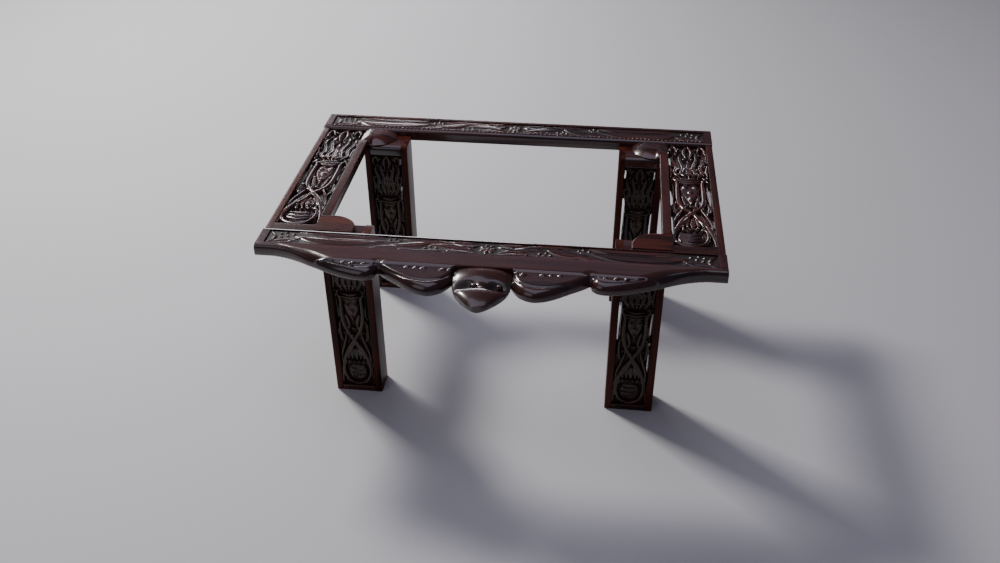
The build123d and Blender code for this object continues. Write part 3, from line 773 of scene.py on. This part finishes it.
# How far in the dome rises, and its edge's height as a share of the block's. Front ears are flat.
EAR_DOME = {"front": (1.6, 0.88), "back": (23.0, 0.08)}
# The edge's height towards the bar, and the length over which it changes.
EAR_AT_BAR = 0.60
EAR_BAR_BLEND = 6.0
# How much of its height a back ear loses towards the side panel, and over what length.
EAR_OUTER_FALL = {"front": 0.0, "back": 0.40}
EAR_OUTER_REACH = 15.0


def ear(corner):
    """A domed corner block on top of a leg."""
    side, inward = corner_signs(corner)
    box = box_mm(f"{corner}_ear")
    width, depth, thickness = box[1] - box[0]
    turn = np.linspace(math.pi / 2, math.pi, EAR_TURNS)
    curve_a = EAR_SHOULDER + EAR_SHOULDER * np.cos(turn)
    curve_b = EAR_CHEEK + (depth - EAR_CHEEK) * np.sin(turn)
    curved = np.vstack([[(width + EAR_PAST, depth)], np.stack([curve_a, curve_b], 1), [(0, -EAR_PAST)]])
    lines_a, lines_b = spaced(width, EAR_STEP), spaced(depth, EAR_STEP)
    a, b = np.meshgrid(lines_a, lines_b, indexing="ij")
    away = line_distance(a, b, curved)
    solid = ring_distance(a, b, np.vstack([curved, [(width + EAR_PAST, -EAR_PAST)]]))
    row = corner.split("_")[0]
    dome, edge_share = EAR_DOME[row]
    fall = 1 - np.clip(away / dome, 0, 1)
    edge_share = edge_share + (EAR_AT_BAR - edge_share) * eased((a - EAR_SHOULDER) / EAR_BAR_BLEND)
    top = thickness * (edge_share + (1 - edge_share) * (1 - fall**2))
    outer = EAR_OUTER_FALL[row] * np.clip(1 - (width - a) / EAR_OUTER_REACH, 0, 1) ** 2
    top = np.minimum(top, thickness * (1 - outer))
    piece = slab(
        f"{corner}_ear_domed", lines_a, lines_b, top, 0, (side * X_AXIS, inward * Y_AXIS, Z_AXIS),
        start_corner(box, side, inward), solid=solid, rim=thickness * edge_share,
    )
    finish_piece(piece, "ear" if row == "front" else "frame_x", "frame_wood", f"{corner}_ear")


# ---- rails and strips
POCKET_WALL = 0.5
RAIL_ROUND = 6.6
RAIL_ARRIS = 1.0
RAIL_END_ROUND = 1.6
RAIL_UNDER_ROUND = 1.2


def rail(name, strip_name, open_high):
    """A rail with a pocket for its carved strip; open_high tells which long edge is well rounded."""
    low, high = box_mm(name)
    pocket_low, pocket_high = box_mm(strip_name)
    depth = high[2] - pocket_low[2]
    a0, a1 = pocket_low[0] - low[0], pocket_high[0] - low[0]
    b0, b1 = pocket_low[1] - low[1], pocket_high[1] - low[1]

    def carve(a, b):
        """The pocket's depth at (a, b), with steep walls."""
        inside = np.minimum(np.minimum(a - a0, a1 - a), np.minimum(b - b0, b1 - b))
        return depth * np.clip(inside / POCKET_WALL + 1, 0, 1)

    walls = [(start - POCKET_WALL, start, end, end + POCKET_WALL) for start, end in ((a0, a1), (b0, b1))]
    long_edges = (RAIL_ARRIS, RAIL_ROUND) if open_high else (RAIL_ROUND, RAIL_ARRIS)
    edges = (RAIL_END_ROUND, RAIL_END_ROUND, *long_edges), (RAIL_UNDER_ROUND,) * 4
    looks = ("frame_x", "frame_wood")
    rounded_board(name, "rounded", looks, high - low, LEVEL_AXES, low, edges, carve, walls)


# Half of the strips' design, mirrored about the middle: (distance from the middle, across,
# half width) in mm, where across is a share of the strip's half depth, positive to the back.
STRIP_LEAVES = [
    [(252, 0.24, 0.8), (228, -0.24, 7.4), (196, -0.4, 9), (160, -0.26, 7.4), (130, 0.12, 0.8)],
    [(248, 0.92, 0.6), (214, 0.7, 5), (180, 0.6, 6), (150, 0.68, 5.2), (128, 0.94, 0.6)],
    [(150, -0.8, 0.6), (130, -0.62, 4.6), (104, -0.42, 0.6)],
    [(126, -0.16, 0.8), (108, -0.22, 6.2), (90, 0.06, 6.8), (70, 0.62, 0.8)],
    [(110, 0.84, 0.6), (92, 0.74, 4.2), (66, 0.62, 5.2), (38, 0.44, 0.8)],
    [(76, 0.08, 0.8), (52, 0.08, 6.4), (34, -0.14, 6.6), (14, -0.56, 0.8)],
    [(50, 0.86, 0.6), (32, 0.62, 4.6), (14, 0.82, 0.6)],
    [(56, -0.84, 0.6), (34, -0.76, 3.8), (10, -0.92, 0.6)],
    [(278, -0.62, 0.8), (262, -0.4, 3), (246, -0.56, 0.8)],
    [(36, 0.3, 0.6), (24, 0.12, 3.8), (12, 0.4, 0.6)],
]
STRIP_STEMS = [
    [(270, -0.9, 1.2), (256, -0.66, 1.7), (236, 0.26, 1.6), (200, 0.16, 1.6), (150, 0.2, 1.6),
     (118, 0.24, 1.5)],
    [(286, 0.8, 1.2), (279, 0.2, 2.4), (279, -0.4, 2.4), (285, -0.84, 1.2)],
    [(112, -0.74, 1.2), (88, -0.86, 1.9), (62, -0.66, 1.7), (26, -0.3, 1.3)],
]
STRIP_BERRIES = [
    (272, 0.52, 2.4), (265, 0.72, 2.2), (262, 0.22, 2.3), (255, 0.5, 2.6), (270, 0.02, 1.9),
    (128, 0.5, 2.4), (121, 0.72, 2.5), (115, 0.48, 2.3), (122, 0.22, 1.9),
    (80, -0.45, 2.3), (72, -0.6, 2.6), (66, -0.3, 2.2), (64, -0.72, 2.4), (50, -0.66, 2.2), (74, -0.14, 1.8),
]
STRIP_GROUND = 2.3
# How far the leaves stand above the strip's face.
STRIP_RISE = 0.4
STRIP_ROUNDNESS = 1.5
STRIP_STEPS = (0.8, 0.65)
STRIP_LEAF_LEVEL = 0.92
STRIP_LEAF_GROOVE = 0.16
STRIP_STEM_LEVEL = 0.85
ROSETTE_PETALS = 7
# A petal's (distance from the rosette's middle, half width).
ROSETTE_PETAL = [(2.5, 0.8), (6.5, 3.0), (10.4, 0.7)]
PETAL_LEVEL = 0.80
PETAL_GROOVE = 0.15
ROSETTE_EYE = 3.2


def carved_strip(name):
    """A low carved strip of leaves and berries with a rosette in the middle."""
    low, high = box_mm(name)
    half_length, half_depth = (high[0] - low[0]) / 2, (high[1] - low[1]) / 2
    lines_a = spaced(2 * half_length, STRIP_STEPS[0]) - half_length
    lines_b = spaced(2 * half_depth, STRIP_STEPS[1]) - half_depth
    carving = Carving(lines_a, lines_b, STRIP_GROUND, high[2] - low[2] + STRIP_RISE, STRIP_ROUNDNESS)
    for side in (-1, 1):
        size = (side, half_depth, 1)
        for leaf in STRIP_LEAVES:
            carving.stroke(np.array(leaf) * size, STRIP_LEAF_LEVEL, STRIP_LEAF_GROOVE)
        for stem in STRIP_STEMS:
            carving.stroke(np.array(stem) * size, STRIP_STEM_LEVEL)
        for distance, across, radius in STRIP_BERRIES:
            carving.bead(side * distance, across * half_depth, radius)
    for petal in range(ROSETTE_PETALS):
        angle = 2 * math.pi * petal / ROSETTE_PETALS
        ray = [(r * math.cos(angle), r * math.sin(angle), half) for r, half in ROSETTE_PETAL]
        carving.stroke(ray, PETAL_LEVEL, PETAL_GROOVE)
    carving.bead(0, 0, ROSETTE_EYE)
    origin = ((low[0] + high[0]) / 2, (low[1] + high[1]) / 2, low[2])
    piece = slab(
        f"{name}_leaves", lines_a, lines_b, softened(carving.height, 1), 0, LEVEL_AXES, origin,
        relief=softened(carving.relief(), 1),
    )
    finish_piece(piece, "carved_x", "carved_wood", name)


BEAD_PITCH = 6.35
BEAD_RADIUS = 1.7
# From the rail's ends to the row, and from its front to the border.
BEAD_END_GAP = 16
BORDER_START = 3.2
BEAD_RINGS = 5
BEAD_TURNS = 12
# How far from its pole a bead's surface goes on, in degrees.
BEAD_ANGLE = 100
# How far the beads' middles are sunk, and the share of the radius that is left at the pole.
BEAD_SINK = 0.5
POLE_SHARE = 0.04


def bead_row():
    """A row of small beads along the back rail's front border."""
    low, high = box_mm("back_rail")
    strip_low = box_mm("back_carved_strip")[0]
    reach = (high[0] - low[0]) / 2 - BEAD_END_GAP
    count = int(2 * reach / BEAD_PITCH)
    y = (low[1] + BORDER_START + strip_low[1]) / 2
    points, faces = [], []
    for number in range(count + 1):
        x = (number - count / 2) * BEAD_PITCH
        start = len(points)
        for ring in range(BEAD_RINGS + 1):
            tilt = math.radians(BEAD_ANGLE) * (BEAD_RINGS - ring) / BEAD_RINGS
            radius = BEAD_RADIUS * max(math.sin(tilt), POLE_SHARE)
            z = high[2] - BEAD_SINK + BEAD_RADIUS * math.cos(tilt)
            for turn in range(BEAD_TURNS):
                angle = 2 * math.pi * turn / BEAD_TURNS
                points.append((x + radius * math.cos(angle), y + radius * math.sin(angle), z))
        for here in range(start, start + BEAD_RINGS * BEAD_TURNS, BEAD_TURNS):
            for turn in range(BEAD_TURNS):
                after = (turn + 1) % BEAD_TURNS
                above = here + BEAD_TURNS
                faces.append((here + turn, here + after, above + after, above + turn))
    piece = make_mesh("back_bead_row", np.array(points), np.array(faces), np.ones(len(points)))
    finish_piece(piece, "carved_x", "carved_wood")


# ---- lip and pendant
LIP_AXES = (X_AXIS, -Y_AXIS, Z_AXIS)
# The lip's depth behind the frame's front, where its reach is 0.
LIP_STRIP = 5.0
# The lip's outline on the right half, as (distance from the middle, reach in front of the frame).
OUTER_LOBE = [
    (300, 0), (286, 0), (272, 0.4), (256, 4), (240, 10), (216, 21.5), (192, 32.5),
    (170, 39.8), (153, 42.5), (142, 41), (135, 35.5), (132, 27),
]
INNER_LOBE = [
    (132, 27), (126, 32), (119, 37.5), (107, 46), (93, 56.5), (80, 63.5), (67, 66.8),
    (56, 64.5), (47, 58.5), (40.5, 50), (36, 42),
]
PENDANT_SIDE = [
    (36, 42), (35.4, 51), (33, 60), (28.5, 69), (23, 76.5), (17, 83.5), (11, 89), (5.5, 92.8),
    (0, 94.2), (-5.5, 92.8),
]
BAND = 21.0
PENDANT_HALF = 36.0
RIM_ROUND = 15.0
RIM_SQUASH = 0.78
RIM_BACK_ROUND = 5.0
RIM_DROP = 0.7
END_ROUND = 7.5
UNDER_ROUND = 3.6
RIM_BACK_DEPTH = 1.1
# Where each lobe's petal meets the back of its rim.
INNER_PETAL = [
    (137, 10), (131, 23), (120, 32), (107, 40.5), (93, 48), (78, 52.5), (63, 52.5),
    (50, 47.5), (41.5, 38), (38, 26), (38, 10),
]
OUTER_PETAL = [
    (132, 10), (135, 21), (141, 27), (152, 30.5), (166, 30.5), (182, 27.5), (198, 22), (212, 10),
]
BAND_ARRIS = 2.6
BAND_ARRIS_SQUASH = 0.5
PETAL_DROP = 2.2
PETAL_ROUND = 5.0
PETAL_DEPTH = 0.75
# Long berries behind the rims, as (distance from the middle, reach, radius).
LIP_BERRIES = [
    (41, 27, 2.3), (50, 28.5, 2.9), (74, 27.5, 2.6), (84, 27, 2), (95, 26.5, 2.3),
    (150, 25, 2), (164, 25.4, 2.6), (176, 25, 2.1),
]
BERRY_STRETCH = 1.5
LIP_STEP = 0.85
BEHIND_STEP = 1.3
LOBE_STEP = 0.75
LIP_REACH = 68
CURVE_STEPS = 8
# Where the lobes begin, and the length over which they reach their full shape.
LOBES_FROM = 254
LOBES_FADE = 36
# The length of the step from the band to the petals.
BAND_STEP_RUN = 1.5
LIP_END_ROUND = 1.6
LIP_BERRY_SINK = 2.8
# A relief of 1 lasts a little below the top, and falls to 0 over about this depth; the lip's wood paints
# shade where the relief is low.
RELIEF_START = 1.15
LIP_RELIEF_DEPTH = 6.0
RIM_RELIEF = 0.85
RIM_INSET = 2.0


def with_berry(top, along, across, size, base):
    """A surface with a long berry on it, whose middle is at a base height."""
    span = np.hypot(along / BERRY_STRETCH, across)
    dome = base + np.sqrt(np.maximum(size**2 - span**2, 0))
    return np.where(span < size, np.maximum(top, dome), top)


def scalloped_lip():
    """The lip: a flat band, then lobes with a tube-like rim, a groove and a swelling petal."""
    low, high = box_mm("scalloped_lip")
    thickness = high[2] - low[2]
    half_width = high[0]
    outline = np.vstack([smooth_path(OUTER_LOBE, CURVE_STEPS)[:-1], smooth_path(INNER_LOBE, CURVE_STEPS)])
    edge = np.vstack([outline, [(PENDANT_HALF, BAND)]])
    right = np.vstack([edge, [(0, BAND), (0, -LIP_STRIP), (half_width, -LIP_STRIP)]])
    lines_a = spaced(2 * half_width, LIP_STEP) - half_width
    behind = spaced(LIP_STRIP + BAND, BEHIND_STEP) - LIP_STRIP
    lines_b = np.unique(np.round(np.concatenate([behind, BAND + spaced(LIP_REACH - BAND, LOBE_STEP)]), 4))
    a, reach = np.meshgrid(lines_a, lines_b, indexing="ij")
    across = np.abs(a)
    solid = ring_distance(across, reach, right)
    # The two mirrored halves have no edge where they meet in the middle.
    solid = np.where((across < 2) & (reach < BAND), BAND - reach, solid)
    lobe = eased((LOBES_FROM - across) / LOBES_FADE)
    radius = END_ROUND + (RIM_ROUND - END_ROUND) * lobe
    away = line_distance(across, reach, edge)
    petals = [ring_distance(across, reach, smooth_path(line, 6)) for line in (INNER_PETAL, OUTER_PETAL)]
    inner = np.maximum(*petals)
    back = RIM_BACK_DEPTH * edge_drop(-inner, RIM_BACK_ROUND)
    rim = RIM_DROP * lobe + np.maximum(RIM_SQUASH * edge_drop(away, radius), back)
    petal = PETAL_DROP + PETAL_DEPTH * edge_drop(inner, PETAL_ROUND)
    lobes = np.where(inner < 0, rim, petal)
    past = reach - BAND
    band = RIM_SQUASH * edge_drop(line_distance(across, reach, outline), radius)
    band = np.maximum(band, lobe * BAND_ARRIS_SQUASH * edge_drop(-past, BAND_ARRIS))
    step = lobe * PETAL_DROP * eased(past / BAND_STEP_RUN)
    drop = np.where(past > 0, np.maximum(step, lobes * eased(past / BAND_STEP_RUN + (1 - lobe))), band)
    top = thickness - softened(drop, 2) - edge_drop(half_width - across, LIP_END_ROUND)
    for distance, berry_reach, size in LIP_BERRIES:
        top = with_berry(top, across - distance, reach - berry_reach, size, thickness - LIP_BERRY_SINK)
    # The relief steers the lip wood's painted shade: deep grooves are painted dark, and the rims are held
    # high so they stay unshaded.
    relief = np.clip(RELIEF_START - (thickness - top) / LIP_RELIEF_DEPTH, 0, 1)
    relief = np.where(inner < -RIM_INSET, np.maximum(relief, RIM_RELIEF), relief)
    piece = slab(
        "scalloped_lip_carved", lines_a, lines_b, top, edge_drop(away, UNDER_ROUND), LIP_AXES,
        (0, high[1] - LIP_STRIP, low[2]), solid=solid, rim=thickness - RIM_SQUASH * radius - RIM_DROP * lobe,
        relief=relief,
    )
    finish_piece(piece, "lip", "lip_wood", "scalloped_lip")


# How far the pendant's surface lies below its top along its middle, as (reach, drop).
PENDANT_MIDDLE = [
    (21, 0.3), (26, 0.5), (31, 0.9), (36, 1.8), (41, 3.2), (46, 4.8), (52, 5.6), (57, 4.9), (62, 3.2),
    (67, 2.2), (72, 1.8), (95, 1.8),
]
# The middle of the oval pocket on each side, as (distance from the middle, reach), and its half sizes.
POCKET_AT = (17.5, 52.0)
POCKET_REACH = (17.0, 12.0)
POCKET_DEPTH = 6.5
# Berries as (place across, reach, radius). The one on the ledge is less sunk than the others.
PENDANT_BERRIES = [(-7.7, 53.0, 2.9), (23.6, 53.0, 2.7), (-15.0, 23.6, 2.2)]
PENDANT_LEDGE = 40.0
POCKET_BERRY_SINK = 6.0
LEDGE_BERRY_SINK = 3.4
PENDANT_STEP = 0.6
PENDANT_SIDE_FALL = 0.0044
SHIELD_START = 60.0
SHIELD_FRONT_FALL = 0.0050
SHIELD_RELIEF = 0.9
PENDANT_ROUND = 8.0
PENDANT_SOFTENING = 120
PENDANT_RELIEF_DEPTH = 9.0


def centre_pendant():
    """The pendant: a swelling ledge, two pockets with berries and a bulbous shield."""
    low, high = box_mm("centre_pendant")
    thickness = high[2] - low[2]
    front_y = box_mm("scalloped_lip")[1][1] - LIP_STRIP
    side_line = smooth_path(PENDANT_SIDE, CURVE_STEPS)[:-CURVE_STEPS]
    edge = np.vstack([[(PENDANT_HALF, BAND)], side_line])
    lines_a = spaced(2 * PENDANT_HALF, PENDANT_STEP) - PENDANT_HALF
    lines_b = BAND + spaced(high[1] - low[1], PENDANT_STEP)
    a, reach = np.meshgrid(lines_a, lines_b, indexing="ij")
    across = np.abs(a)
    full = np.vstack([edge, side_line[::-1] * (-1, 1), [(-PENDANT_HALF, BAND)]])
    solid = ring_distance(a, reach, full)
    away = line_distance(across, reach, edge)
    off_pocket = np.hypot((across - POCKET_AT[0]) / POCKET_REACH[0], (reach - POCKET_AT[1]) / POCKET_REACH[1])
    inside = np.where(solid > 0, away, -away)
    fall = PENDANT_SIDE_FALL * across**2 + SHIELD_FRONT_FALL * np.maximum(reach - SHIELD_START, 0) ** 2
    profile = smooth_path(PENDANT_MIDDLE, 6)
    middle = np.interp(reach, profile[:, 0], profile[:, 1])
    drop = middle + POCKET_DEPTH * eased(1 - off_pocket) + fall
    rounding = softened(edge_drop(inside, PENDANT_ROUND), PENDANT_SOFTENING)
    top = thickness - softened(np.hypot(drop, rounding), 4)
    for place, berry_reach, size in PENDANT_BERRIES:
        sink = POCKET_BERRY_SINK if berry_reach > PENDANT_LEDGE else LEDGE_BERRY_SINK
        top = with_berry(top, a - place, reach - berry_reach, size, thickness - sink)
    # The relief steers the painted shade; the shield is held at a set relief so it is not painted dark.
    relief = np.clip(RELIEF_START - (thickness - top) / PENDANT_RELIEF_DEPTH, 0, 1)
    piece = slab(
        "centre_pendant_carved", lines_a, lines_b, top, edge_drop(away, UNDER_ROUND), LIP_AXES,
        (0, front_y, low[2]), solid=solid, relief=np.where(reach < SHIELD_START, relief, SHIELD_RELIEF),
    )
    finish_piece(piece, "lip", "lip_wood", "centre_pendant")


# ---- build the stand
for corner_name in ("front_left", "front_right", "back_left", "back_right"):
    leg(corner_name)
    ear(corner_name)
for side_name in ("left", "right"):
    side_frame(side_name)
rail("front_rail", "front_carved_strip", open_high=True)
rail("back_rail", "back_carved_strip", open_high=False)
carved_strip("front_carved_strip")
carved_strip("back_carved_strip")
bead_row()
scalloped_lip()
centre_pendant()
for node_name, node_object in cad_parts.items():
    if node_name.endswith("dowels"):
        node_object.data.materials.clear()
        node_object.data.materials.append(WOOD["dowel"])


# ---- floor, light and camera
FLOOR_SIZE = 12
FLOOR_COLOUR = (0.60, 0.60, 0.61, 1)
FLOOR_ROUGHNESS = 0.7
WORLD_COLOUR = (0.66, 0.64, 0.86, 1)
WORLD_STRENGTH = 0.11
STAND_MIDDLE = (0.0, 0.0, 0.2)
# Each light's place, size, power in watts and colour, in metres.
LIGHTS = {
    "key": ((-1.50, 1.18, 1.90), (0.5, 0.5), 62.0, (1.0, 0.97, 0.94)),
    "fill": ((-1.2, -1.6, 1.5), (1.4, 1.4), 4.0, (0.95, 0.93, 1.0)),
    "back_panel": ((-0.5, 1.9, 1.70), (2.4, 0.7), 0.8, (0.76, 0.72, 1.0)),
    "back_strip": ((-1.15, 2.4, 0.84), (2.2, 0.45), 20.0, (0.97, 0.94, 1.0)),
    "overhead": ((-0.20, -0.25, 2.20), (2.0, 1.5), 10.5, (0.80, 0.78, 1.0)),
}


def pale_floor():
    """A plain pale floor."""
    bpy.ops.mesh.primitive_plane_add(size=FLOOR_SIZE)
    floor = bpy.context.object
    floor.name = "floor"
    material = bpy.data.materials.new("pale_floor")
    material.use_nodes = True
    shader = material.node_tree.nodes["Principled BSDF"]
    shader.inputs["Base Color"].default_value = FLOOR_COLOUR
    shader.inputs["Roughness"].default_value = FLOOR_ROUGHNESS
    floor.data.materials.append(material)


def area_light(name, place, size, power, colour):
    """A soft rectangular light at a place, aimed at the stand."""
    data = bpy.data.lights.new(name, "AREA")
    data.shape = "RECTANGLE"
    data.size, data.size_y = size
    data.energy, data.color = power, colour
    lamp = bpy.data.objects.new(name, data)
    lamp.location = place
    aim = np.array(STAND_MIDDLE) - np.array(place)
    lamp.rotation_euler = Matrix(look_along(aim / np.linalg.norm(aim))).to_euler()
    bpy.context.scene.collection.objects.link(lamp)


def look_along(direction):
    """Rotation rows that turn local -Z to a direction and keep local Y upright."""
    right = np.cross(direction, Z_AXIS)
    right /= np.linalg.norm(right)
    up = np.cross(right, direction)
    return np.stack([right, up, -direction], 1).tolist()


# Metres, radians and millimetres.
CAMERA_PLACE = (0.1405, -1.1770, 0.9537)
CAMERA_YAW, CAMERA_PITCH, CAMERA_ROLL = 0.1187, 0.6039, 0.0057
CAMERA_LENS = 35.73
SENSOR_WIDTH = 36.0


def add_camera():
    """The camera, at the measured viewing angle."""
    data = bpy.data.cameras.new("camera")
    data.lens = CAMERA_LENS
    data.sensor_width = SENSOR_WIDTH
    camera = bpy.data.objects.new("camera", data)
    forward = np.array([
        -math.sin(CAMERA_YAW) * math.cos(CAMERA_PITCH),
        math.cos(CAMERA_YAW) * math.cos(CAMERA_PITCH),
        -math.sin(CAMERA_PITCH),
    ])
    level = np.array(look_along(forward))
    tilt = np.array(Matrix.Rotation(-CAMERA_ROLL, 3, "Z"))
    turned = Matrix((level @ tilt).tolist())
    camera.matrix_world = Matrix.Translation(CAMERA_PLACE) @ turned.to_4x4()
    bpy.context.scene.collection.objects.link(camera)
    bpy.context.scene.camera = camera


pale_floor()
world = bpy.data.worlds.new("studio")
world.use_nodes = True
world.node_tree.nodes["Background"].inputs["Color"].default_value = WORLD_COLOUR
world.node_tree.nodes["Background"].inputs["Strength"].default_value = WORLD_STRENGTH
bpy.context.scene.world = world
for light_name, light in LIGHTS.items():
    area_light(light_name, *light)
add_camera()
